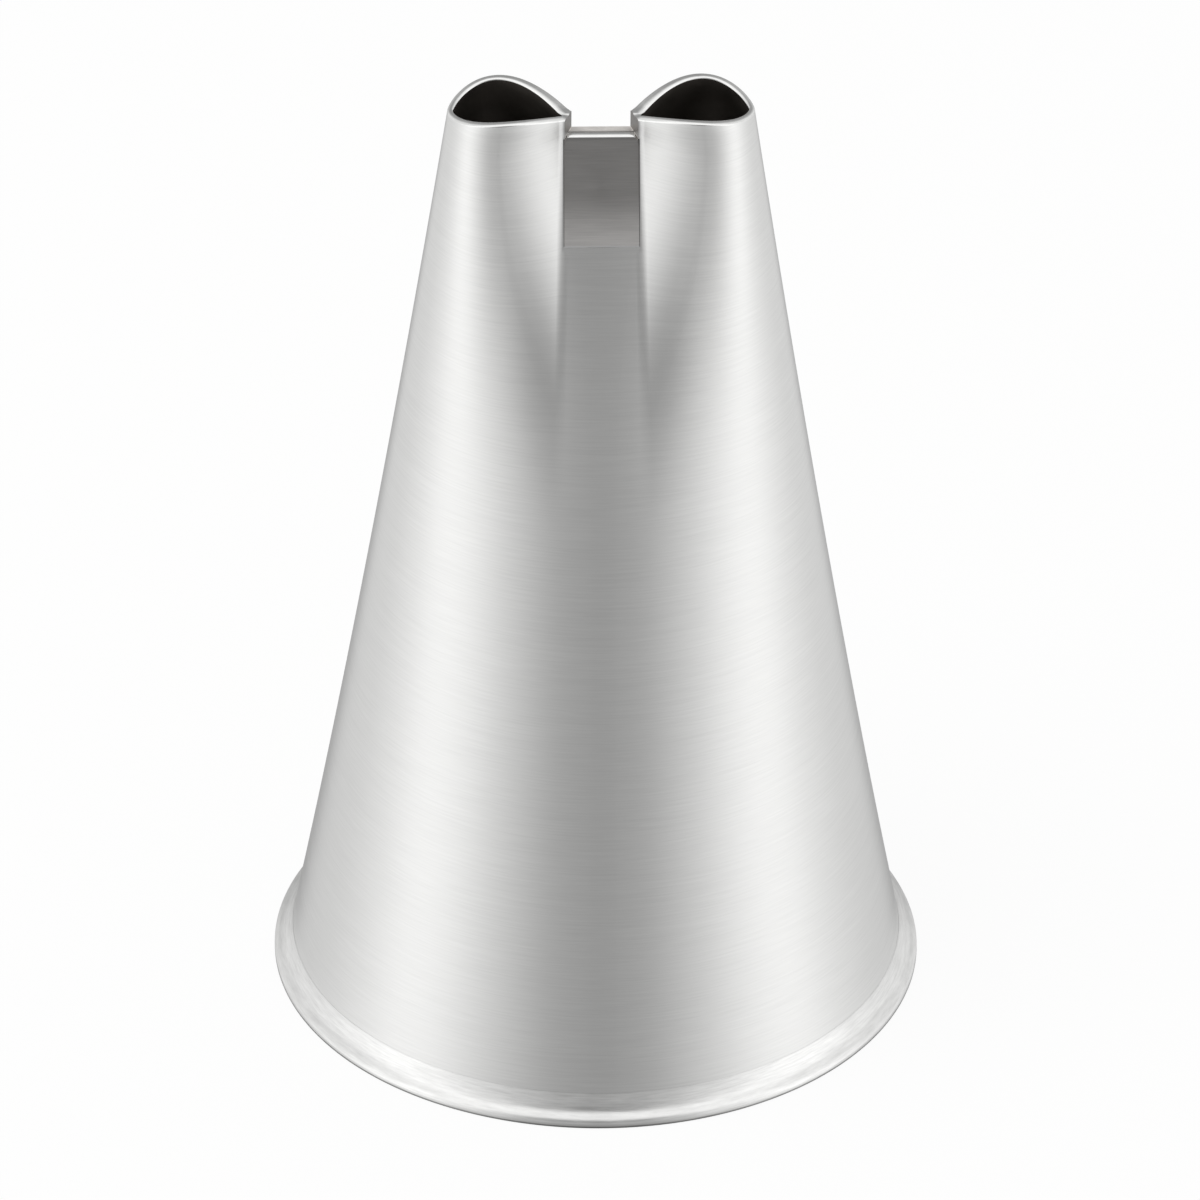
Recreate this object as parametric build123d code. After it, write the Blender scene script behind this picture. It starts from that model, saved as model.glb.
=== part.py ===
from build123d import *
import math
import os

# Sizes of the whole nozzle, in millimetres and degrees. The middle plane is the XZ plane,
# the front is towards -Y, and the foot stands on Z = 0.
tip_height = 29.0            # foot to the crowns of the two spout rims
ring_radius = 9.5            # outer edge of the foot ring
ring_lip = 0.37              # how far that edge stands out from the cone's foot
sheet = 0.28                 # thickness of the drawn sheet

# The two spouts at their rims
mouth_half_width = 4.26      # middle of the mouth to the outer end of a spout
spout_front = 1.28           # how far a spout bulges in front of the middle plane
spout_back = 1.83            # and how far behind it
web_offset = 0.31            # the pinched web lies this far in front of the middle plane
web_gap = 0.12               # slit between the two pinched sheets
crown_rise = 0.33            # crown of a rim above its outer end
tip_drop = 0.03              # pointed inner end of a rim below its outer end
rim_trim = 0.3               # height of the drawn blank that is cut away above the crowns
outlet_tip = 1.12            # middle of the mouth to the pointed end of an outlet

# The flat strip down the front and back, between the spouts
strip_half_mouth = 1.1        # at the front
back_strip_half_mouth = 0.85
strip_half_cone = 1.3

# The notch between the rims and the window under it
notch_drop = 0.93            # crowns of the rims down to the floor of the notch
notch_half_width = 0.94      # at the pinched web
notch_flare = 17.0           # its sides open towards the front by this angle
window_height = 2.87         # floor of the notch down to the sill of the window
window_half_width = 1.08
web_block_height = 1.2       # solid pinched web under the floor of the notch
web_block_half_foot = 1.3    # half width of that web at its lower end

# The plate in the window
plate_thickness = 0.24
plate_recess = 0.24          # its top edge lies this far behind the front of the sheet
plate_gap = 0.015            # brazed gap all round it
plate_round = 0.09

# The foot ring
ring_edge_height = 0.28      # plain outer edge
flange_rise = 0.45           # sloped top, from the edge up to the collar
collar_wall = 0.14           # collar that hugs the cone
collar_rise = 0.14
ring_gap = 0.015             # brazed gap between the ring and the cone
ring_round = 0.2

# Shape of the sections, as shares of the sizes that they follow
foot_slope_share = 1.205     # slope of the cone at its foot, of the mean slope up to a spout's end
pinch_start_share = 0.58     # of the height, where the pinch begins
strip_power = 3              # how late the strip, the spouts and the taper bend inwards
spout_power = 2
taper_power = 1.55
handle_share = 1 / 3         # along a straight strip, where its curve's handle stands
pull_share = 0.71            # along a spout, from the strip to its outer end
thinning_share = 0.42        # of the sheet, lost round the tight bend at that end
tip_shift_share = 0.9        # of the sheet, by which the inner face leaves the back strip later
front_swell_shares = (1.86, 0.46)
back_swell_shares = (1.58, 0.26)
crown_share = 0.55           # along a rim, from the outlet's tip to the outer end
section_shares = (0.0, 0.15, 0.3, 0.45, 0.56, 0.64, 0.72, 0.8, 0.87, 0.93, 0.97, 1.0)
overrun = 1.0                # how far a cutting tool passes what it cuts

# Worked out from the sizes above
blank_height = tip_height + rim_trim
band_height = ring_edge_height + flange_rise + collar_rise
cone_radius = ring_radius - ring_lip
cone_slope = foot_slope_share * (cone_radius - mouth_half_width) / tip_height
wall_inset = sheet * math.hypot(1, cone_slope)
band_radius = cone_radius - cone_slope * band_height
drawn_height = blank_height - band_height
mouth_half_depth = (spout_front + spout_back) / 2
notch_floor = tip_height - notch_drop
window_sill = notch_floor - window_height


def half_axis(height, at_mouth):
    """Half width or half depth: a straight cone at the foot, then a curve to the mouth."""
    rise = height - band_height
    straight = band_radius - cone_slope * rise
    if rise <= 0:
        return straight
    draw = at_mouth - band_radius + cone_slope * drawn_height
    return straight + draw * (rise / drawn_height) ** taper_power


def pinched_share(height, full_height):
    """0 up to where the pinch begins, 1 from the height where it is full."""
    start = pinch_start_share * tip_height
    return min(max((height - start) / (full_height - start), 0), 1)


def arc_reach(angle):
    """Length of the handles that make one cubic curve follow an arc of a unit circle."""
    return 4 / 3 * math.tan(angle / 4)


def mix(plain, pinched, weight):
    return [a + (b - a) * weight for a, b in zip(plain, pinched)]


def quarter_points(height, inset, side):
    """Control points of one quarter of a section: two on the strip, three out to the end.

    side is -1 for the front and 1 for the back. Depths are positive until the last line.
    """
    width = half_axis(height, mouth_half_width) - inset
    depth = half_axis(height, mouth_half_depth) - inset
    bulge = (spout_front if side < 0 else spout_back) * (depth + inset) / mouth_half_depth
    web = sheet + web_gap / 2 - side * web_offset
    near, far = front_swell_shares if side < 0 else back_swell_shares
    strip_pinch = pinched_share(height, notch_floor)
    strip_weight = strip_pinch ** strip_power
    spout_weight = pinched_share(height, blank_height) ** spout_power
    back_start = back_strip_half_mouth + tip_shift_share * inset
    mouth_start = strip_half_mouth if side < 0 else back_start
    start = strip_half_cone + (mouth_start - strip_half_cone) * strip_pinch
    turn = math.asin(start / width)
    reach = arc_reach(math.pi / 2 - turn)
    strip_reach = arc_reach(2 * turn)
    edge = depth * math.cos(turn)
    oval = [
        (start - strip_reach * width * math.cos(turn), edge + strip_reach * depth * math.sin(turn)),
        (start, edge),
        (start + reach * width * math.cos(turn), edge - reach * depth * math.sin(turn)),
        (width, reach * depth),
        (width, 0.0),
    ]
    end = width + thinning_share * inset
    pinched = [
        (start * handle_share, web - inset),
        (start, web - inset),
        (start + pull_share * (end - start), near * bulge - inset),
        (end, far * bulge - inset),
        (end, 0.0),
    ]
    strip = [mix(a, b, strip_weight) for a, b in zip(oval[:2], pinched[:2])]
    spout = [mix(a, b, spout_weight) for a, b in zip(oval[2:], pinched[2:])]
    return [(x, side * y) for x, y in strip + spout]


def section(height, inset):
    """Closed outline of the drawn sheet at one height, as six curves."""
    front = quarter_points(height, inset, -1)
    back = quarter_points(height, inset, 1)

    def curve(points):
        return Edge.make_bezier(*[(x, y, height) for x, y in points])

    def flip(points):
        return [(-x, y) for x, y in points]

    return Wire([
        curve(flip([front[1], front[0]]) + [front[0], front[1]]),
        curve(front[1:]),
        curve(back[:0:-1]),
        curve([back[1], back[0]] + flip([back[0], back[1]])),
        curve(flip(back[1:])),
        curve(flip(front[:0:-1])),
    ])


def drawn_solid(inset, lowest):
    """Solid inside one face of the sheet, from the foot up to the top of the blank."""
    heights = [lowest] + [band_height + share * drawn_height for share in section_shares]
    return Solid.make_loft([section(height, inset) for height in heights])


def prism(points, plane, reach):
    """Straight prism with a polygon for its outline, the same way on both sides of the plane."""
    outline = Polyline(*[plane.from_local_coords(point) for point in points], close=True)
    return extrude(make_face(outline), amount=reach, dir=plane.z_dir, both=True)


# Outlines in the front view are (x, z), and those in the side view are (y, z)
front_view = Plane(origin=(0, 0, 0), x_dir=(1, 0, 0), z_dir=(0, -1, 0))
side_view = Plane(origin=(0, 0, 0), x_dir=(0, 1, 0), z_dir=(1, 0, 0))
top_of_cuts = blank_height + overrun


def rim_cutter():
    """What is cut off above the two crowned rims."""
    rim_end = tip_height - crown_rise
    rim_tip = rim_end - tip_drop
    end_at = half_axis(rim_end, mouth_half_width)
    crown_at = notch_half_width + crown_share * (end_at - notch_half_width)
    far_at = end_at + overrun
    arch = ThreePointArc(
        front_view.from_local_coords((notch_half_width, rim_tip)),
        front_view.from_local_coords((crown_at, tip_height)),
        front_view.from_local_coords((end_at, rim_end)),
    )
    rest = Polyline(*[
        front_view.from_local_coords(point)
        for point in [
            (end_at, rim_end),
            (far_at, rim_end),
            (far_at, top_of_cuts),
            (0, top_of_cuts),
            (0, rim_tip),
            (notch_half_width, rim_tip),
        ]
    ])
    outline = make_face(Wire([arch.edge(), *rest.edges()]))
    right = extrude(outline, amount=cone_radius, dir=(0, 1, 0), both=True)
    return right + mirror(right, about=Plane.YZ)


def web_block():
    """Solid metal where the two sheets are pinched together between the outlets."""
    low = notch_floor - web_block_height
    spread = web_block_half_foot - outlet_tip
    top_half = outlet_tip - spread * (top_of_cuts - tip_height) / (tip_height - low)
    corners = [
        (-web_block_half_foot, low),
        (web_block_half_foot, low),
        (top_half, top_of_cuts),
        (-top_half, top_of_cuts),
    ]
    return prism(corners, front_view, cone_radius)


def notch_cutter():
    """The notch above the plate, with sides that open towards the front."""
    flare = math.tan(math.radians(notch_flare))
    near_half = notch_half_width + flare * (spout_front - web_offset)
    far_half = notch_half_width - flare * (spout_back + web_offset)
    outline = Polyline(
        (-near_half, -spout_front, notch_floor),
        (near_half, -spout_front, notch_floor),
        (far_half, spout_back, notch_floor),
        (-far_half, spout_back, notch_floor),
        close=True,
    )
    return extrude(make_face(outline), amount=top_of_cuts - notch_floor, dir=(0, 0, 1))


def front_of_strip(height):
    """Depth of the strip's front face at the middle of its curve."""
    first, edge = quarter_points(height, 0, -1)[:2]
    return (3 * first[1] + edge[1]) / 4


# The plate's front face, from its foot, flush with the sheet, up to its recessed top edge
plate_foot = (front_of_strip(window_sill), window_sill)
plate_head = (front_of_strip(notch_floor) + plate_recess, notch_floor)
plate_lean = math.atan2(plate_head[0] - plate_foot[0], window_height)


def along_plate(height, behind):
    """Point of the side view at one height, measured back from the plate's front face."""
    forward = (height - window_sill) * math.tan(plate_lean)
    return (plate_foot[0] + forward + behind / math.cos(plate_lean), height)


def window_cutter():
    """The window, cut from the front as deep as the back of the plate."""
    behind = plate_thickness + plate_gap
    corners = [
        (plate_foot[0] - overrun, window_sill),
        along_plate(window_sill, behind),
        along_plate(notch_floor, behind),
        (plate_foot[0] - overrun, notch_floor),
    ]
    return prism(corners, side_view, window_half_width)


def make_cone_shell():
    outside = drawn_solid(0, 0)
    inside = drawn_solid(wall_inset, -overrun)
    shell = outside - (inside - web_block())
    shell = shell - rim_cutter() - notch_cutter() - window_cutter()
    return shell.solids().sort_by(SortBy.VOLUME)[-1]


def make_web_plate():
    foot = window_sill + plate_gap
    corners = [
        along_plate(foot, 0),
        along_plate(foot, plate_thickness),
        along_plate(notch_floor, plate_thickness),
        along_plate(notch_floor, 0),
    ]
    plate = prism(corners, side_view, window_half_width - plate_gap)
    top_edges = plate.faces().sort_by(Axis.Z)[-1].edges().filter_by(Axis.X)
    return fillet(top_edges, radius=plate_round).solid()


def make_foot_ring():
    """The ring's profile, turned round the axis: edge, sloped top, collar, conical bore."""

    def bore_at(height):
        return cone_radius - cone_slope * height + ring_gap

    collar_foot = ring_edge_height + flange_rise
    collar_top = collar_foot + collar_rise
    profile = Polyline(
        (bore_at(0), 0, 0),
        (ring_radius, 0, 0),
        (ring_radius, 0, ring_edge_height),
        (bore_at(collar_foot) + collar_wall, 0, collar_foot),
        (bore_at(collar_top) + collar_wall, 0, collar_top),
        (bore_at(collar_top), 0, collar_top),
        close=True,
    )
    ring = revolve(make_face(profile), axis=Axis.Z)
    outer = ring.edges().filter_by(GeomType.CIRCLE)
    rounded = [
        edge for edge in outer
        if abs(edge.radius - ring_radius) < ring_round and edge.center().Z > ring_round
    ]
    return fillet(rounded, radius=ring_round).solid()


os.makedirs("parts", exist_ok=True)
export_step(make_cone_shell(), "parts/cone_shell.step")
export_step(make_web_plate(), "parts/web_plate.step")
export_step(make_foot_ring(), "parts/foot_ring.step")
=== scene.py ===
"""A piping nozzle with two outlets, in brushed stainless steel, on a pale studio floor."""
import bpy
import bmesh
import math
from mathutils import Matrix, Vector


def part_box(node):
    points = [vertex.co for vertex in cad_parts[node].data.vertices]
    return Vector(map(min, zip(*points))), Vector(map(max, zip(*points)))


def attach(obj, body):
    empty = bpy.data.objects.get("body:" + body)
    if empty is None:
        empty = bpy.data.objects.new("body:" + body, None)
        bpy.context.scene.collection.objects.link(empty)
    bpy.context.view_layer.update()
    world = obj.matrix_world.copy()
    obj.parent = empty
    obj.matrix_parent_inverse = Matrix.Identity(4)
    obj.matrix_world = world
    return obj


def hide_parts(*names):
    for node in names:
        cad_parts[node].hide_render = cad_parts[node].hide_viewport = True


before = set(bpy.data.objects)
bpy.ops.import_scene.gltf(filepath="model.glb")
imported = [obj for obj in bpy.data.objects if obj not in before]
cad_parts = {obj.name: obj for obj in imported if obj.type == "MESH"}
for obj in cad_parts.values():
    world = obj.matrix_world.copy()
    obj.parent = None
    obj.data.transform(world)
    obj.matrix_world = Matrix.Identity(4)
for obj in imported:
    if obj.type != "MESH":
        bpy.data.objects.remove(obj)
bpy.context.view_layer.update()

# Sizes in metres. What the frame already says is read from it.
MM = 0.001
HARD_CORNER = math.radians(40)
_, cone_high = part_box("cone_shell")
_, ring_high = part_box("foot_ring")
plate_low, plate_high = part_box("web_plate")

TIP_HEIGHT = 29.0 * MM
SILL_GAP = 0.004 * MM        # between the plate's foot and the window's sill
CONE_SIZES = {
    "Tip Height": TIP_HEIGHT,
    "Cone Radius": cone_high.x,
    "Foot Slope": 0.20236,
    "Band Height": ring_high.z,
    "Sheet": 0.28 * MM,
    "Mouth Half Width": 4.26 * MM,
    "Spout Front": 1.28 * MM,
    "Spout Back": 1.83 * MM,
    "Web Offset": 0.31 * MM,
    "Web Gap": 0.12 * MM,
    "Crown Rise": 0.33 * MM,
    "Tip Drop": 0.03 * MM,
    "Rim Trim": 0.3 * MM,
    "Rim Round": 0.06 * MM,
    "Strip Half Mouth": 1.1 * MM,
    "Back Strip Half Mouth": 0.85 * MM,
    "Strip Half Cone": 1.3 * MM,
    "Notch Floor": plate_high.z,
    "Notch Half Width": 0.94 * MM,
    "Notch Flare": math.tan(math.radians(17)),
    "Window Sill": plate_low.z - SILL_GAP,
    "Window Half Width": 1.08 * MM,
    "Pinch Start": 0.58 * TIP_HEIGHT,
    "Crown Share": 0.55,
    "Pull Share": 0.71,
    "Thinning Share": 0.42,
    "Tip Shift Share": 0.9,
}
FRONT_SWELL_SHARES = (1.86, 0.46)
BACK_SWELL_SHARES = (1.58, 0.26)
STRIP_POWER = 3
SPOUT_POWER = 2
TAPER_POWER = 1.55
STRIP_COLUMN_SHARE = 0.1     # of a quarter's columns
QUARTER_COLUMNS = 60
OUTSIDE_ROWS = 120
INSIDE_ROWS = 70
RIM_ROWS = 12
FOOT_ROWS = 1
OUTSIDE, RIM, INSIDE, CUT = range(4)     # regions of the sheet, one finish for each
MERGE_DISTANCE = 0.0005 * MM
NOTCH_REACH_SHARE = 1.2      # the notch's block, past the spouts' depth
NOTCH_TOP_SHARE = 1.05       # and past the tip's height
WINDOW_REACH_SHARE = 0.5     # the window's block, forward from the axis, of the foot's radius

# The solid web between the two sheets: half widths, depths and heights at its foot and head
WEB_HALF_WIDTHS = (1.3 * MM, 1.12 * MM)
WEB_FOOT_DEPTHS = (-1.0 * MM, 0.35 * MM)
WEB_HEAD_DEPTHS = (-0.5 * MM, -0.12 * MM)
WEB_HEIGHTS = (26.87 * MM, 28.62 * MM)

# The plate
PLATE_THICKNESS = 0.24 * MM
PLATE_GAP = 0.015 * MM
PLATE_BOW = 0.05 * MM        # its front face is this hollow
CORNER_ROUND = 0.16 * MM
EDGE_ROUND = 0.07 * MM
CORNER_STEPS = 8
EDGE_STEPS = 10
FACE_ROWS = 30
MIDDLE_SHARES = (0.6, 0.4, 0.2, 0.0, -0.2, -0.4, -0.6)
EDGE_FACING = 0.8            # a face that looks less to the front than this is part of the edge

# The ring
RING_GAP = 0.004 * MM
HOLLOW_PULL = (0.015 * MM, 0.42 * MM)    # beside the cone, and height
SHOULDER_WIDTH = 0.17 * MM
SHOULDER_TOP = 0.31 * MM
SHOULDER_PULL = 0.235 * MM
EDGE_TOP = 0.12 * MM
EDGE_FOOT = 0.05 * MM
CURVE_STEPS = 10
RING_SEGMENTS = 360

# Finishes. The places and shares here are set from the tones in the picture.
GRAIN_TURN = 0.25                        # of a full turn, from up the nozzle to round it
SPOUT_MIDDLE = 2.9 * MM                  # a softer patch on each spout, from the middle, whose colour is lightened as a painted highlight
SPOUT_REACH = 1.4 * MM
SPOUT_FROM = 17 * MM
SPOUT_OVER = 7 * MM
SPOUT_PAINTED_HIGHLIGHT = 0.16
SPOUT_SOFTER = 0.26
PLATE_BRIGHT_BELOW = 26.7 * MM           # painted light: the plate's colour brightens towards its foot
PLATE_BRIGHT_OVER = 1.5 * MM
PLATE_PAINTED_LIGHT = 1.2
PLATE_LINE_REACH = 0.06 * MM             # and a painted highlight, a thin bright line along its foot
PLATE_FOOT_PAINTED_HIGHLIGHT = 0.6
NOTCH_FLOOR_REACH = 0.05 * MM            # a painted highlight along the notch's floor, which is also given more roughness
NOTCH_FLOOR_PAINTED_HIGHLIGHT = 1.9
NOTCH_FLOOR_SOFTER = 0.2
RING_DARK_BELOW = 0.1 * MM               # painted shade: a thin dark line along the ring's foot
RING_DARK_OVER = 0.05 * MM
RING_FOOT_PAINTED_SHADE = 0.55

# The studio: tones of the tent by direction, from the front at 0 to behind at 1
TENT_TONES = (
    (0.0, 0.38), (0.1, 0.46), (0.16, 0.63), (0.23, 0.82), (0.3, 1.06), (0.37, 1.22), (0.43, 1.22),
    (0.52, 1.0), (0.64, 0.83), (0.8, 0.79), (0.85, 0.55), (0.93, 0.34), (1.0, 0.32),
)
TENT_PEAK = 1.22
TENT_RADIUS = 200 * MM
TENT_TOP = 1.1
TENT_TOP_FROM = 0.78
TENT_TOP_OVER = 0.2
CARD_REACH = 0.2             # a dark card high in front, up to this share of the way behind
CARD_FROM = 0.4
CARD_OVER = 0.3
CARD_LOSS = 0.8
TENT_LOW_FROM = 0.4          # height under the middle where the tent begins to darken
TENT_LOW_OVER = 0.2
TENT_LOW_LOSS = 0.62
FLOOR_REACH = 600 * MM
FLOOR_COLOUR = (0.9, 0.9, 0.89)
FLOOR_GLOW = 0.9
WORLD_LEVEL = 0.75
LAMP_POWER = 0.35
LAMP_SIZE = 250 * MM
LAMP_PLACE = (-120 * MM, -50 * MM, 300 * MM)

# The camera: a long lens above the front, solved from the outline. Picture places are in pixels.
PICTURE_WIDTH = 1200
FOCAL_LENGTH = 12094.6
AIM_PLACE = (597.9, 515.7)
AIM_HEIGHT = 15 * MM
CAMERA_DISTANCE = 350 * MM
CAMERA_ELEVATION = math.radians(32.578)
CAMERA_TURN = math.radians(1.5)
CAMERA_ROLL = math.radians(0.372)
SENSOR_WIDTH = 36.0
CLIP_START = 10 * MM
CLIP_END = 10.0


# Node trees

class Field:
    """A number over a mesh or a surface. Sums and products of fields become Math nodes."""

    def __init__(self, tree, socket):
        self.tree = tree
        self.socket = socket

    def math(self, operation, *others):
        node = self.tree.nodes.new("ShaderNodeMath")
        node.operation = operation
        for slot, value in zip(node.inputs, (self, *others)):
            put(self.tree, slot, value)
        return Field(self.tree, node.outputs[0])

    def __add__(self, other):
        return self.math("ADD", other)

    def __sub__(self, other):
        return self.math("SUBTRACT", other)

    def __mul__(self, other):
        return self.math("MULTIPLY", other)

    def __truediv__(self, other):
        return self.math("DIVIDE", other)

    def __pow__(self, other):
        return self.math("POWER", other)

    def __rsub__(self, other):
        return self * -1.0 + other

    def __gt__(self, other):
        return self.math("GREATER_THAN", other)

    def __lt__(self, other):
        return self.math("LESS_THAN", other)

    def __abs__(self):
        return self.math("ABSOLUTE")

    def clip(self, low, high):
        return self.math("MAXIMUM", low).math("MINIMUM", high)

    __radd__ = __add__
    __rmul__ = __mul__


def put(tree, slot, value):
    """Links a field or a socket to a slot, or sets the slot to a plain value."""
    if isinstance(value, Field):
        tree.links.new(value.socket, slot)
    elif isinstance(value, bpy.types.NodeSocket):
        tree.links.new(value, slot)
    else:
        slot.default_value = value


def add_node(tree, kind, inputs=None, **settings):
    node = tree.nodes.new(kind)
    for name, value in settings.items():
        setattr(node, name, value)
    for name, value in (inputs or {}).items():
        put(tree, node.inputs[name], value)
    return node


def mix(plain, other, share):
    return plain + (other - plain) * share


# The drawn cone: one sheet, pinched at its mouth into two spouts

class Sizes:
    """The tree's named inputs as fields, and what follows from them."""

    def __init__(self, tree, group_in):
        for name in CONE_SIZES:
            setattr(self, name.lower().replace(" ", "_"), Field(tree, group_in.outputs[name]))
        self.blank_height = self.tip_height + self.rim_trim
        self.band_radius = self.cone_radius - self.foot_slope * self.band_height
        self.drawn_height = self.blank_height - self.band_height
        self.mouth_half_depth = (self.spout_front + self.spout_back) / 2.0
        self.wall_inset = self.sheet * (self.foot_slope * self.foot_slope + 1.0) ** 0.5


def half_axis(size, height, at_mouth):
    """Half width or half depth: a straight cone at the foot, then a curve to the mouth."""
    rise = height - size.band_height
    straight = size.band_radius - size.foot_slope * rise
    draw = at_mouth - size.band_radius + size.foot_slope * size.drawn_height
    return straight + draw * (rise / size.drawn_height).clip(0.0, 1.0) ** TAPER_POWER


def pinched_share(size, height, full_height):
    """0 up to where the pinch begins, 1 from the height where it is full."""
    return ((height - size.pinch_start) / (full_height - size.pinch_start)).clip(0.0, 1.0)


def arc_reach(angle):
    """Length of the handles that make one cubic curve follow an arc of a unit circle."""
    return (angle / 4.0).math("TANGENT") * (4 / 3)


def cubic(points, t):
    """Point of a cubic curve with fields for its four points."""
    s = 1.0 - t
    weights = (s * s * s, s * s * t * 3.0, s * t * t * 3.0, t * t * t)
    return [sum(((p[axis] * w) for p, w in zip(points[1:], weights[1:])), points[0][axis] * weights[0])
            for axis in (0, 1)]


def sheet_point(size, turn, height, layer):
    """Place on the sheet. turn goes 0 to 4 round the section from the middle of the front;
    layer is 0 on the outside and 1 on the inside."""
    along = 1.0 - abs(turn.math("MODULO", 2.0) - 1.0)
    back = abs(turn - 2.0) < 1.0
    inset = size.wall_inset * layer
    width = half_axis(size, height, size.mouth_half_width) - inset
    outer_depth = half_axis(size, height, size.mouth_half_depth)
    depth = outer_depth - inset
    bulge = mix(size.spout_front, size.spout_back, back) * outer_depth / size.mouth_half_depth
    near = mix(FRONT_SWELL_SHARES[0], BACK_SWELL_SHARES[0], back)
    far = mix(FRONT_SWELL_SHARES[1], BACK_SWELL_SHARES[1], back)
    web = size.sheet + size.web_gap / 2.0 - size.web_offset * (back * 2.0 - 1.0)
    strip_pinch = pinched_share(size, height, size.notch_floor)
    strip_weight = strip_pinch ** STRIP_POWER
    spout_weight = pinched_share(size, height, size.blank_height) ** SPOUT_POWER
    back_start = size.back_strip_half_mouth + size.tip_shift_share * inset
    mouth_start = mix(size.strip_half_mouth, back_start, back)
    start = mix(size.strip_half_cone, mouth_start, strip_pinch)
    turned = (start / width).math("ARCSINE")
    cosine, sine = turned.math("COSINE"), turned.math("SINE")
    reach = arc_reach(math.pi / 2 - turned)
    strip_reach = arc_reach(turned * 2.0)
    edge = depth * cosine
    oval = [
        (start - strip_reach * width * cosine, edge + strip_reach * depth * sine),
        (start, edge),
        (start + reach * width * cosine, edge - reach * depth * sine),
        (width, reach * depth),
    ]
    bend = width + size.thinning_share * inset
    pinched = [
        (start / 3.0, web - inset),
        (start, web - inset),
        (start + size.pull_share * (bend - start), near * bulge - inset),
        (bend, far * bulge - inset),
    ]
    weights = [strip_weight, strip_weight, spout_weight, spout_weight]
    points = [
        (mix(a[0], b[0], weight), mix(a[1], b[1], weight))
        for a, b, weight in zip(oval, pinched, weights)
    ]
    crown, corner, pull, last = points
    end = mix(width, bend, spout_weight)
    strip_t = (along / STRIP_COLUMN_SHARE).clip(0.0, 1.0) * 0.5 + 0.5
    spout_t = ((along - STRIP_COLUMN_SHARE) / (1 - STRIP_COLUMN_SHARE)).clip(0.0, 1.0)
    strip = cubic([(corner[0] * -1.0, corner[1]), (crown[0] * -1.0, crown[1]), crown, corner], strip_t)
    spout = cubic([corner, pull, last, (end, end * 0.0)], spout_t)
    on_spout = along > STRIP_COLUMN_SHARE
    x = mix(strip[0], spout[0], on_spout) * (1.0 - (turn > 2.0) * 2.0)
    y = mix(strip[1], spout[1], on_spout) * (back * 2.0 - 1.0)
    return x, y, height


def rim_height(size, turn):
    """Height of the rim above one column: an arch over each spout, with its crown off centre."""
    x, _, _ = sheet_point(size, turn, size.tip_height, turn * 0.0)
    tip = size.notch_half_width
    end = size.mouth_half_width + size.foot_slope * size.rim_trim
    crown = mix(tip, end, size.crown_share)
    at = abs(x).math("MAXIMUM", tip)
    drop_tip = size.crown_rise + size.tip_drop
    shape_tip = (at - crown) * (at - end) / ((tip - crown) * (tip - end))
    shape_end = (at - tip) * (at - crown) / ((end - tip) * (end - crown))
    return size.tip_height - drop_tip * shape_tip - size.crown_rise * shape_end


def sheet_grid(tree, rows, region, stations, flipped=False):
    """One face of the sheet as a flat grid, which remembers where its points belong: turn round
    the section, share of the height, rounding of the rim, and layer of the sheet."""
    grid = add_node(tree, "GeometryNodeMeshGrid",
                    {"Vertices X": 4 * QUARTER_COLUMNS + 1, "Vertices Y": rows + 1})
    split = add_node(tree, "ShaderNodeSeparateXYZ", {0: grid.outputs["UV Map"]})
    turn = Field(tree, split.outputs[0]) * 4.0
    share, rounding, layer = stations(Field(tree, split.outputs[1]))
    mesh = grid.outputs["Mesh"]
    for name, value in (("turn", turn), ("share", share), ("rounding", rounding), ("layer", layer)):
        mesh = add_node(tree, "GeometryNodeStoreNamedAttribute",
                        {"Geometry": mesh, "Name": name, "Value": value}, domain="POINT").outputs[0]
    if flipped:
        mesh = add_node(tree, "GeometryNodeFlipFaces", {"Mesh": mesh}).outputs[0]
    return mark_region(tree, mesh, region)


def remembered(tree, name):
    node = add_node(tree, "GeometryNodeInputNamedAttribute", {"Name": name}, data_type="FLOAT")
    return Field(tree, node.outputs["Attribute"])


def set_place(tree, mesh, point):
    place = add_node(tree, "ShaderNodeCombineXYZ", dict(enumerate(point)))
    return add_node(tree, "GeometryNodeSetPosition",
                    {"Geometry": mesh, "Position": place.outputs[0]}).outputs[0]


def mark_region(tree, mesh, region):
    """Stores which finish the faces get."""
    node = add_node(tree, "GeometryNodeStoreNamedAttribute",
                    {"Geometry": mesh, "Name": "region"}, data_type="INT", domain="FACE")
    node.inputs["Value"].default_value = region
    return node.outputs[0]


def corner_block(tree, region, place):
    """A block with six flat sides. place gives a corner from its three signs as shares 0 and 1."""
    cube = add_node(tree, "GeometryNodeMeshCube", {"Size": (1.0, 1.0, 1.0)})
    position = add_node(tree, "GeometryNodeInputPosition")
    split = add_node(tree, "ShaderNodeSeparateXYZ", {0: position.outputs[0]})
    shares = [Field(tree, socket) + 0.5 for socket in split.outputs]
    return mark_region(tree, set_place(tree, cube.outputs["Mesh"], place(*shares)), region)


def boolean(tree, operation, first, *others):
    node = add_node(tree, "GeometryNodeMeshBoolean", operation=operation, solver="MANIFOLD")
    sockets = [s for s in node.inputs if s.type == "GEOMETRY"]
    if operation == "DIFFERENCE":
        tree.links.new(first, sockets[0])
        for other in others:
            tree.links.new(other, sockets[1])
    else:
        for other in (first, *others):
            tree.links.new(other, sockets[1])
    return node.outputs[0]


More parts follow.
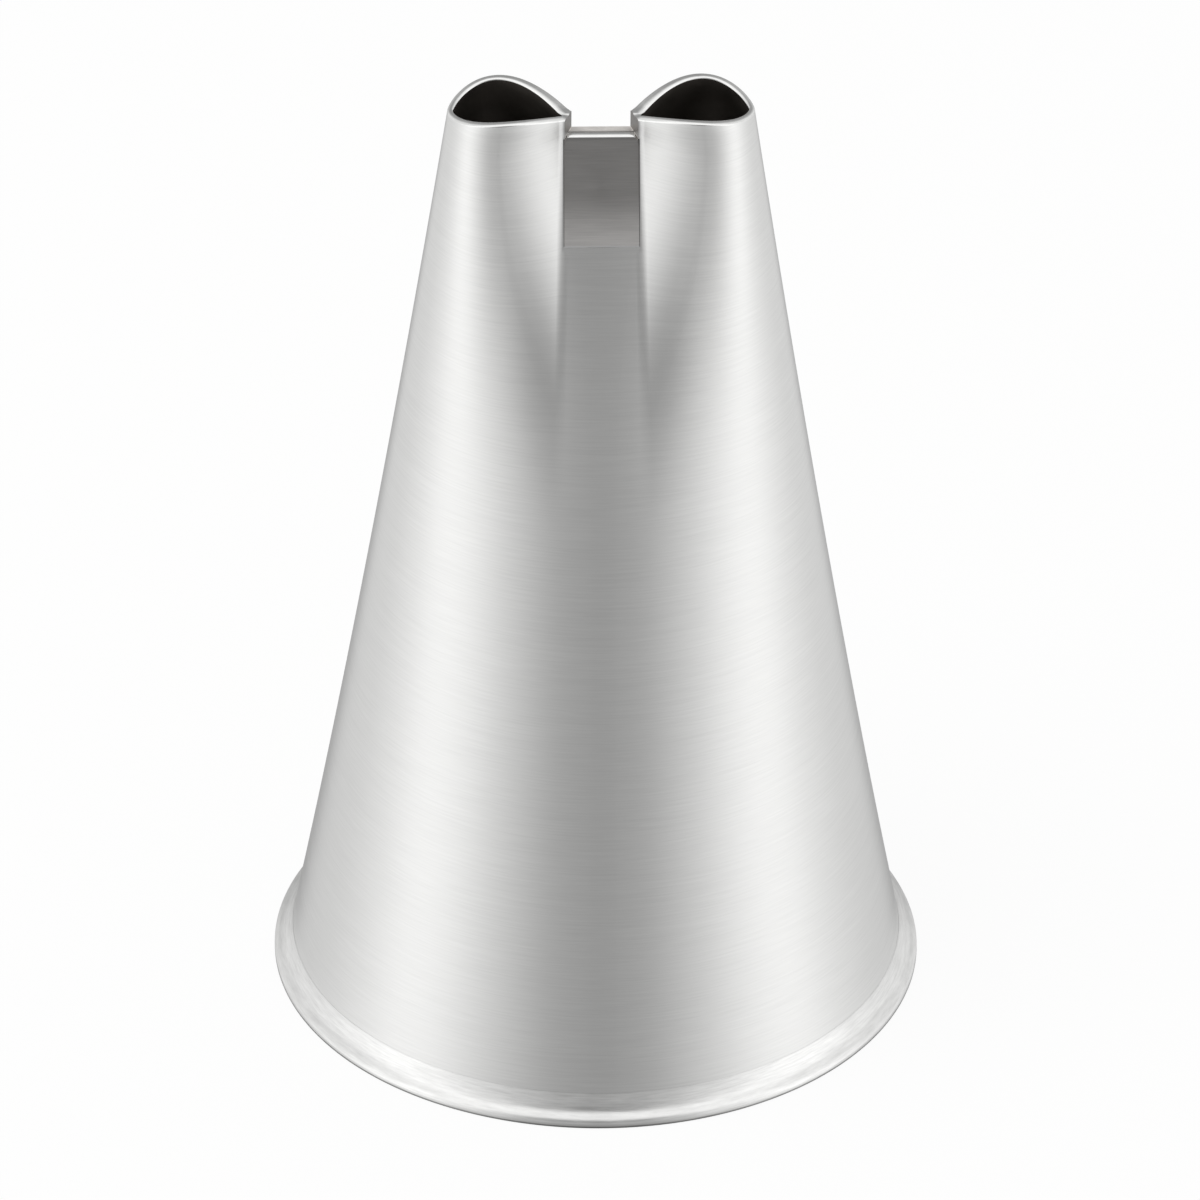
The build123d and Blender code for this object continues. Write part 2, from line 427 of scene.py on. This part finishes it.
def cone_tree(materials):
    """Geometry nodes of the drawn cone. materials holds one finish for each region."""
    tree = bpy.data.node_groups.new("Drawn Cone", "GeometryNodeTree")
    for name in CONE_SIZES:
        tree.interface.new_socket(name, in_out="INPUT", socket_type="NodeSocketFloat")
    tree.interface.new_socket("Geometry", in_out="OUTPUT", socket_type="NodeSocketGeometry")
    size = Sizes(tree, tree.nodes.new("NodeGroupInput"))

    def up_outside(row):
        return row, 0.0, 0.0

    def up_inside(row):
        return row, 0.0, 1.0

    def over_rim(row):
        angle = row * math.pi
        return 1.0, angle.math("SINE"), (1.0 - angle.math("COSINE")) / 2.0

    def under_foot(row):
        return 0.0, 0.0, row

    faces = [
        sheet_grid(tree, OUTSIDE_ROWS, OUTSIDE, up_outside),
        sheet_grid(tree, INSIDE_ROWS, INSIDE, up_inside, flipped=True),
        sheet_grid(tree, RIM_ROWS, RIM, over_rim),
        sheet_grid(tree, FOOT_ROWS, RIM, under_foot, flipped=True),
    ]
    join = add_node(tree, "GeometryNodeJoinGeometry")
    for face in faces:
        tree.links.new(face, join.inputs[0])
    turn, share, rounding, layer = (
        remembered(tree, name) for name in ("turn", "share", "rounding", "layer"))
    height = share * (rim_height(size, turn) - size.rim_round) + size.rim_round * rounding
    placed = set_place(tree, join.outputs[0], sheet_point(size, turn, height, layer))
    sheet = add_node(tree, "GeometryNodeMergeByDistance",
                     {"Geometry": placed, "Distance": MERGE_DISTANCE}).outputs[0]

    def notch(x, y, z):
        depth = mix(size.spout_front * -NOTCH_REACH_SHARE, size.spout_back * NOTCH_REACH_SHARE, y)
        half = size.notch_half_width - size.notch_flare * (depth + size.web_offset)
        top = size.tip_height * NOTCH_TOP_SHARE
        return (x * 2.0 - 1.0) * half, depth, mix(size.notch_floor, top, z)

    def window(x, y, z):
        front = size.cone_radius * -WINDOW_REACH_SHARE
        back = mix(PLATE_LINE["foot"], PLATE_LINE["head"], z)
        return (x * 2.0 - 1.0) * size.window_half_width, mix(front, back, y), mix(
            size.window_sill, size.notch_floor, z)

    def web(x, y, z):
        front = mix(WEB_FOOT_DEPTHS[0], WEB_HEAD_DEPTHS[0], z)
        back = mix(WEB_FOOT_DEPTHS[1], WEB_HEAD_DEPTHS[1], z)
        half = mix(WEB_HALF_WIDTHS[0], WEB_HALF_WIDTHS[1], z)
        return (x * 2.0 - 1.0) * half, mix(front, back, y), mix(WEB_HEIGHTS[0], WEB_HEIGHTS[1], z)

    joined = boolean(tree, "UNION", sheet, corner_block(tree, RIM, web))
    cuts = [corner_block(tree, CUT, notch), corner_block(tree, CUT, window)]
    shell = boolean(tree, "DIFFERENCE", joined, *cuts)
    angle = add_node(tree, "GeometryNodeInputMeshEdgeAngle")
    sharp = Field(tree, angle.outputs["Unsigned Angle"]) > HARD_CORNER
    smooth = add_node(tree, "GeometryNodeSetShadeSmooth", {"Geometry": shell, "Shade Smooth": True},
                      domain="FACE").outputs[0]
    creased = add_node(tree, "GeometryNodeSetShadeSmooth",
                       {"Geometry": smooth, "Selection": sharp, "Shade Smooth": False},
                       domain="EDGE").outputs[0]
    real = add_node(tree, "GeometryNodeRealizeInstances", {"Geometry": creased}).outputs[0]
    region = add_node(tree, "GeometryNodeInputNamedAttribute", {"Name": "region"}, data_type="INT")
    for number, material in materials.items():
        here = add_node(tree, "FunctionNodeCompare",
                        {2: region.outputs["Attribute"], 3: number}, data_type="INT",
                        operation="EQUAL")
        real = add_node(tree, "GeometryNodeSetMaterial",
                        {"Geometry": real, "Selection": here.outputs[0], "Material": material}
                        ).outputs[0]
    end = tree.nodes.new("NodeGroupOutput")
    tree.links.new(real, end.inputs[0])
    return tree


def solved_plate():
    """Lean of the plate, and the depth of its back at its foot and head, from its box."""
    rise, depth = plate_high.z - plate_low.z, plate_high.y - plate_low.y
    lean = math.atan2(depth, rise) - math.asin(PLATE_THICKNESS / math.hypot(rise, depth))
    behind = (PLATE_THICKNESS + PLATE_GAP) / math.cos(lean)
    foot = plate_low.y - PLATE_GAP * math.tan(lean) + behind
    return {"lean": lean, "foot": foot, "head": foot + (rise + PLATE_GAP) * math.tan(lean)}


PLATE_LINE = solved_plate()


def cut_to_triangles(mesh):
    """The boolean cuts leave hollow many-sided faces. Here none of their triangles overlap."""
    bm = bmesh.new()
    bm.from_mesh(mesh)
    bmesh.ops.triangulate(bm, faces=bm.faces)
    bm.to_mesh(mesh)
    bm.free()


def plain_mesh(name, tree, values):
    """Runs a node tree and returns its result as an object with a plain mesh."""
    maker = bpy.data.objects.new(name + "_maker", bpy.data.meshes.new(name + "_maker"))
    bpy.context.scene.collection.objects.link(maker)
    modifier = maker.modifiers.new("shape", "NODES")
    modifier.node_group = tree
    for item in tree.interface.items_tree:
        if item.in_out == "INPUT" and item.name in values:
            modifier[item.identifier] = values[item.name]
    depsgraph = bpy.context.evaluated_depsgraph_get()
    mesh = bpy.data.meshes.new_from_object(maker.evaluated_get(depsgraph))
    mesh.name = name
    cut_to_triangles(mesh)
    piece = bpy.data.objects.new(name, mesh)
    bpy.context.scene.collection.objects.link(piece)
    maker.modifiers.remove(modifier)
    bpy.data.objects.remove(maker)
    return piece


# The plate in the window

def plate_piece():
    """The plate as one closed loop of rows over its top edge, capped at both sides."""
    half = plate_high.x
    columns = [-half + CORNER_ROUND * (1 - math.cos(math.pi / 2 * k / CORNER_STEPS))
               for k in range(CORNER_STEPS + 1)]
    columns += [x * -half for x in MIDDLE_SHARES] + [-x for x in reversed(columns)]
    turns = [math.pi * k / EDGE_STEPS for k in range(EDGE_STEPS + 1)]
    rows = [(k / FACE_ROWS, 0.0, 0.0) for k in range(FACE_ROWS)]
    rows += [(1.0, math.sin(turn), (1 - math.cos(turn)) / 2) for turn in turns]
    rows += [(1 - k / FACE_ROWS, 0.0, 1.0) for k in range(1, FACE_ROWS + 1)]
    bm = bmesh.new()
    grid = []
    for x in columns:
        inward = max(abs(x) - half + CORNER_ROUND, 0.0)
        top = plate_high.z - CORNER_ROUND + math.sqrt(CORNER_ROUND ** 2 - inward ** 2)
        grid.append([bm.verts.new(plate_point(x, top, *row)) for row in rows])
    for left, right in zip(grid, grid[1:]):
        for k in range(len(rows)):
            m = (k + 1) % len(rows)
            bm.faces.new((left[k], right[k], right[m], left[m]))
    bm.faces.new(grid[0])
    bm.faces.new(reversed(grid[-1]))
    bm.normal_update()
    for face in bm.faces:
        tops = [vert for vert in face.verts if vert.co.z > plate_high.z - CORNER_ROUND - EDGE_ROUND]
        face.material_index = int(len(tops) == len(face.verts) and abs(face.normal.y) < EDGE_FACING)
    return finished("window_plate", bm)


def plate_point(x, top, share, rounding, layer):
    rise = plate_high.z - plate_low.z
    height = plate_low.z + share * (top - EDGE_ROUND - plate_low.z) + EDGE_ROUND * rounding
    up = (height - plate_low.z) / rise
    bow = PLATE_BOW * 4 * up * (1 - up) * (1 - layer)
    lean = PLATE_LINE["lean"]
    front = plate_low.y + (height - plate_low.z) * math.tan(lean)
    return x, front + bow + layer * PLATE_THICKNESS / math.cos(lean), height


def finished(name, bm):
    """Turns a closed bmesh into a piece, with its faces outward and its hard corners kept hard."""
    bmesh.ops.recalc_face_normals(bm, faces=bm.faces)
    for face in bm.faces:
        face.smooth = True
    for edge in bm.edges:
        edge.smooth = edge.calc_face_angle(0.0) < HARD_CORNER
    mesh = bpy.data.meshes.new(name)
    bm.to_mesh(mesh)
    bm.free()
    piece = bpy.data.objects.new(name, mesh)
    bpy.context.scene.collection.objects.link(piece)
    return piece


# The foot ring

def bent(start, pull, end):
    """Points of a quadratic curve, given as (radius, height), without its last point."""
    shares = [k / CURVE_STEPS for k in range(CURVE_STEPS)]
    return [tuple((1 - t) ** 2 * a + 2 * t * (1 - t) * b + t * t * c
                  for a, b, c in zip(start, pull, end)) for t in shares]


def foot_ring_piece():
    """The ring's outline turned round the axis: a hollow curve down from the cone, a round
    shoulder, a plain edge with a small round below, and the conical bore."""
    outer = ring_high.x
    top = ring_high.z

    def bore_at(height):
        return CONE_SIZES["Cone Radius"] - CONE_SIZES["Foot Slope"] * height + RING_GAP

    hollow = (bore_at(HOLLOW_PULL[1]) + HOLLOW_PULL[0], HOLLOW_PULL[1])
    saddle = (outer - SHOULDER_WIDTH, SHOULDER_TOP)
    outline = bent((bore_at(top), top), hollow, saddle)
    outline += bent(saddle, (outer, SHOULDER_PULL), (outer, EDGE_TOP))
    outline += bent((outer, EDGE_FOOT), (outer, 0.0), (outer - EDGE_FOOT, 0.0))
    outline += [(outer - EDGE_FOOT, 0.0), (bore_at(0.0), 0.0)]
    bm = bmesh.new()
    rings = []
    for k in range(RING_SEGMENTS):
        turn = 2 * math.pi * k / RING_SEGMENTS
        rings.append([bm.verts.new((r * math.cos(turn), r * math.sin(turn), z)) for r, z in outline])
    for here, following in zip(rings, rings[1:] + rings[:1]):
        for k in range(len(outline)):
            m = (k + 1) % len(outline)
            bm.faces.new((here[k], following[k], following[m], here[m]))
    return finished("flanged_ring", bm)


# Finishes. Grain runs level round the nozzle, so its pattern is stretched along X and Y.

class Finish:
    """A steel material that is built up from fields on the piece's own coordinates."""

    def __init__(self, name, colour, roughness, anisotropy=0.0):
        self.material = bpy.data.materials.new(name)
        self.material.use_nodes = True
        self.tree = self.material.node_tree
        self.shader = self.tree.nodes["Principled BSDF"]
        self.set("Metallic", 1.0)
        self.set("Anisotropic", anisotropy)
        self.colour = colour
        self.roughness = roughness
        coordinates = add_node(self.tree, "ShaderNodeTexCoord")
        self.place = coordinates.outputs["Object"]
        split = add_node(self.tree, "ShaderNodeSeparateXYZ", {0: self.place})
        self.across, _, self.up = (Field(self.tree, socket) for socket in split.outputs)
        if anisotropy:
            tangent = add_node(self.tree, "ShaderNodeTangent", direction_type="RADIAL", axis="Z")
            self.set("Tangent", tangent.outputs[0])
            self.set("Anisotropic Rotation", GRAIN_TURN)

    def set(self, name, value):
        put(self.tree, self.shader.inputs[name], value)

    def noise(self, length, height, detail=2.0, seed=0.0):
        """Noise between about 0 and 1 whose marks are so long and so high, in metres."""
        mapping = add_node(self.tree, "ShaderNodeMapping", {
            "Vector": self.place,
            "Location": (seed, seed, seed),
            "Scale": (1 / length, 1 / length, 1 / height),
        })
        node = add_node(self.tree, "ShaderNodeTexNoise", {
            "Vector": mapping.outputs[0], "Scale": 1.0, "Detail": detail, "Roughness": 0.6})
        return Field(self.tree, node.outputs["Fac"])

    def eased(self, share):
        """The share, kept from 0 to 1 and eased at both ends."""
        share = share.clip(0.0, 1.0)
        return share * share * (3.0 - share * 2.0)

    def hump(self, value, middle, reach):
        """1 where the value is at the middle, falling smoothly to 0 at the reach."""
        return 1.0 - self.eased(abs(value - middle) / reach)

    def tint(self, share):
        """Colour of the metal, scaled by a field about 1."""
        red, green, blue = (share * value for value in self.colour)
        node = add_node(self.tree, "ShaderNodeCombineColor", {0: red, 1: green, 2: blue})
        self.set("Base Color", node.outputs[0])

    def bump(self, height, distance):
        node = add_node(self.tree, "ShaderNodeBump", {"Height": height, "Distance": distance})
        self.set("Normal", node.outputs[0])


def brushed_cone():
    finish = Finish("brushed_cone", (0.80, 0.80, 0.79), 0.3, 0.5)
    fine = finish.noise(1.6 * MM, 0.045 * MM)
    broad = finish.noise(7.0 * MM, 0.5 * MM, seed=3.0)
    beside = finish.hump(abs(finish.across), SPOUT_MIDDLE, SPOUT_REACH)
    spout = beside * finish.eased((finish.up - SPOUT_FROM) / SPOUT_OVER)
    # painted highlight: the spout patch lightens the colour, and its roughness rises too
    finish.tint((0.89 + 0.16 * fine + 0.04 * broad) * (1.0 + SPOUT_PAINTED_HIGHLIGHT * spout))
    grain = 0.05 * fine + 0.02 * broad - 0.02
    finish.set("Roughness", finish.roughness + grain + SPOUT_SOFTER * spout)
    finish.bump(fine + 0.2 * broad, 0.0013 * MM)
    return finish.material


def polished_edge():
    finish = Finish("polished_edge", (0.88, 0.88, 0.87), 0.14)
    marks = finish.noise(0.35 * MM, 0.12 * MM, detail=3.0)
    finish.tint(0.9 + 0.16 * marks)
    finish.set("Roughness", finish.roughness - 0.04 + 0.12 * marks)
    finish.bump(marks, 0.004 * MM)
    return finish.material


def dull_inside_painted_shade():
    # painted shade: the inner wall's dark colour stands in for the shade inside the cone
    finish = Finish("dull_inside_painted_shade", (0.15, 0.135, 0.12), 0.5)
    stain = finish.noise(1.5 * MM, 0.8 * MM, detail=3.0)
    finish.tint(0.7 + 0.6 * stain)
    finish.set("Roughness", 0.4 + 0.2 * stain)
    return finish.material


def brushed_plate():
    finish = Finish("brushed_plate", (0.44, 0.43, 0.42), 0.3, 0.4)
    fine = finish.noise(1.2 * MM, 0.04 * MM)
    # painted light: the colour brightens towards the plate's foot
    low = finish.eased((PLATE_BRIGHT_BELOW - finish.up) / PLATE_BRIGHT_OVER)
    # painted highlight: a thin bright line along the plate's foot
    line = finish.hump(finish.up, plate_low.z, PLATE_LINE_REACH)
    finish.tint((0.86 + 0.28 * fine) * (0.97 + PLATE_PAINTED_LIGHT * low + PLATE_FOOT_PAINTED_HIGHLIGHT * line))
    finish.set("Roughness", finish.roughness - 0.05 + 0.1 * fine)
    finish.bump(fine, 0.0015 * MM)
    return finish.material


def cut_sheet():
    """Sawn edges of the window and the notch. Their dark colour is painted shade, for the narrow gaps
    beside the plate.
    """
    finish = Finish("cut_sheet", (0.3, 0.29, 0.28), 0.4)
    marks = finish.noise(0.3 * MM, 0.08 * MM, detail=3.0)
    # painted highlight: a bright line along the notch's floor
    floor = finish.hump(finish.up, plate_high.z, NOTCH_FLOOR_REACH)
    finish.tint((0.85 + 0.3 * marks) * (1.0 + NOTCH_FLOOR_PAINTED_HIGHLIGHT * floor))
    finish.set("Roughness", finish.roughness + NOTCH_FLOOR_SOFTER * floor)
    finish.bump(marks, 0.003 * MM)
    return finish.material


def turned_ring():
    finish = Finish("turned_ring", (0.88, 0.88, 0.87), 0.28, 0.4)
    coarse = finish.noise(0.8 * MM, 0.05 * MM, detail=3.0)
    # painted shade: a thin dark line along the ring's foot
    foot = finish.eased((RING_DARK_BELOW - finish.up) / RING_DARK_OVER)
    finish.tint((0.74 + 0.46 * coarse) * (1.0 - RING_FOOT_PAINTED_SHADE * foot))
    finish.set("Roughness", finish.roughness + 0.08 * coarse)
    finish.bump(coarse, 0.003 * MM)
    return finish.material


# The pieces on their frame

def dress(piece, node, materials=()):
    for material in materials:
        piece.data.materials.append(material)
    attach(piece, "root")
    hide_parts(node)


edge_finish = polished_edge()
finish_of_region = {OUTSIDE: brushed_cone(), RIM: edge_finish, INSIDE: dull_inside_painted_shade(), CUT: cut_sheet()}
cone = plain_mesh("drawn_cone", cone_tree(finish_of_region), CONE_SIZES)
dress(cone, "cone_shell")
dress(plate_piece(), "web_plate", [brushed_plate(), edge_finish])
dress(foot_ring_piece(), "foot_ring", [turned_ring()])


# Studio

def glossy_or_seen(tree):
    """1 for rays from the camera, from metal and through glass, 0 for those that light a surface."""
    path = add_node(tree, "ShaderNodeLightPath")
    camera, glossy, through = (
        Field(tree, path.outputs[name])
        for name in ("Is Camera Ray", "Is Glossy Ray", "Is Transmission Ray"))
    return camera.math("MAXIMUM", glossy).math("MAXIMUM", through)


def make_floor():
    mesh = bpy.data.meshes.new("floor")
    reach = FLOOR_REACH
    mesh.from_pydata([(-reach, -reach, 0), (reach, -reach, 0), (reach, reach, 0), (-reach, reach, 0)],
                     [], [(0, 1, 2, 3)])
    floor = bpy.data.objects.new("floor", mesh)
    bpy.context.scene.collection.objects.link(floor)
    material = bpy.data.materials.new("pale_floor")
    material.use_nodes = True
    tree = material.node_tree
    shader = tree.nodes["Principled BSDF"]
    shader.inputs["Base Color"].default_value = (*FLOOR_COLOUR, 1.0)
    shader.inputs["Roughness"].default_value = 0.9
    shader.inputs["Specular IOR Level"].default_value = 0.0
    white = add_node(tree, "ShaderNodeEmission", {"Strength": 1.0})
    blend = add_node(tree, "ShaderNodeMixShader", {
        0: glossy_or_seen(tree) * FLOOR_GLOW, 1: shader.outputs[0], 2: white.outputs[0]})
    tree.links.new(blend.outputs[0], tree.nodes["Material Output"].inputs["Surface"])
    mesh.materials.append(material)
    floor.visible_glossy = False


def make_tent():
    """A dome of soft light and grey cards round the nozzle, seen only in its reflections."""
    bm = bmesh.new()
    bmesh.ops.create_icosphere(bm, subdivisions=5, radius=TENT_RADIUS)
    mesh = bpy.data.meshes.new("light_tent")
    bm.to_mesh(mesh)
    bm.free()
    tent = bpy.data.objects.new("light_tent", mesh)
    bpy.context.scene.collection.objects.link(tent)
    for kind in ("camera", "diffuse", "transmission", "volume_scatter", "shadow"):
        setattr(tent, "visible_" + kind, False)
    material = bpy.data.materials.new("light_tent")
    material.use_nodes = True
    tree = material.node_tree
    tree.nodes.remove(tree.nodes["Principled BSDF"])
    coordinates = add_node(tree, "ShaderNodeTexCoord")
    split = add_node(tree, "ShaderNodeSeparateXYZ", {0: coordinates.outputs["Object"]})
    x, y, z = (Field(tree, socket) for socket in split.outputs)
    round_by = abs(x.math("ARCTAN2", y * -1.0)) / math.pi
    ramp = add_node(tree, "ShaderNodeValToRGB", {"Fac": round_by})
    elements = ramp.color_ramp.elements
    while len(elements) < len(TENT_TONES):
        elements.new(0.5)
    for element, (place, tone) in zip(elements, TENT_TONES):
        element.position = place
        element.color = (tone / TENT_PEAK, tone / TENT_PEAK, tone / TENT_PEAK, 1.0)
    level = Field(tree, ramp.outputs[0]) * TENT_PEAK
    rise = z / TENT_RADIUS
    overhead = ((rise - TENT_TOP_FROM) / TENT_TOP_OVER).clip(0.0, 1.0)
    high = ((rise - CARD_FROM) / CARD_OVER).clip(0.0, 1.0)
    card = high * (1.0 - round_by / CARD_REACH).clip(0.0, 1.0)
    below = ((rise * -1.0 - TENT_LOW_FROM) / TENT_LOW_OVER).clip(0.0, 1.0)
    walls = level * (1.0 - card * CARD_LOSS)
    strength = mix(walls, TENT_TOP, overhead) * (1.0 - below * TENT_LOW_LOSS)
    light = add_node(tree, "ShaderNodeEmission", {"Strength": strength})
    tree.links.new(light.outputs[0], tree.nodes["Material Output"].inputs["Surface"])
    mesh.materials.append(material)


def make_camera():
    """The photograph's angle: above the front, with a long lens."""
    level = math.cos(CAMERA_ELEVATION)
    back = Vector((-level * math.sin(CAMERA_TURN), -level * math.cos(CAMERA_TURN),
                   math.sin(CAMERA_ELEVATION)))
    aim = Vector((0.0, 0.0, AIM_HEIGHT))
    eye = aim + back * CAMERA_DISTANCE
    up = (Vector((0, 0, 1)) - back * back.z).normalized()
    right = up.cross(back)
    middle = PICTURE_WIDTH / 2
    pixel = CAMERA_DISTANCE / FOCAL_LENGTH
    centre = aim - right * (AIM_PLACE[0] - middle) * pixel - up * (middle - AIM_PLACE[1]) * pixel
    look = (eye - centre).normalized()
    data = bpy.data.cameras.new("camera")
    data.sensor_width = SENSOR_WIDTH
    data.lens = FOCAL_LENGTH * SENSOR_WIDTH / PICTURE_WIDTH
    data.clip_start, data.clip_end = CLIP_START, CLIP_END
    camera = bpy.data.objects.new("camera", data)
    bpy.context.scene.collection.objects.link(camera)
    turn = look.to_track_quat("Z", "Y").to_matrix() @ Matrix.Rotation(CAMERA_ROLL, 3, "Z")
    camera.matrix_world = Matrix.Translation(eye) @ turn.to_4x4()
    bpy.context.scene.camera = camera


def make_world():
    """White for the camera and for reflections, and a plain level for what it lights."""
    world = bpy.data.worlds.new("studio")
    bpy.context.scene.world = world
    world.use_nodes = True
    tree = world.node_tree
    background = tree.nodes["Background"]
    background.inputs["Color"].default_value = (1, 1, 1, 1)
    seen = glossy_or_seen(tree)
    put(tree, background.inputs["Strength"], mix(WORLD_LEVEL, 1.0, seen))


def make_lamp():
    """One large softbox high on the left, for the shadow on the floor."""
    data = bpy.data.lights.new("softbox", "AREA")
    data.shape = "DISK"
    data.size = LAMP_SIZE
    data.energy = LAMP_POWER
    lamp = bpy.data.objects.new("softbox", data)
    bpy.context.scene.collection.objects.link(lamp)
    lamp.location = LAMP_PLACE
    lamp.rotation_euler = Vector(lamp.location).to_track_quat("Z", "Y").to_euler()
    lamp.visible_glossy = False


make_floor()
make_tent()
make_lamp()
make_camera()
make_world()
bpy.context.scene.view_settings.view_transform = "Standard"
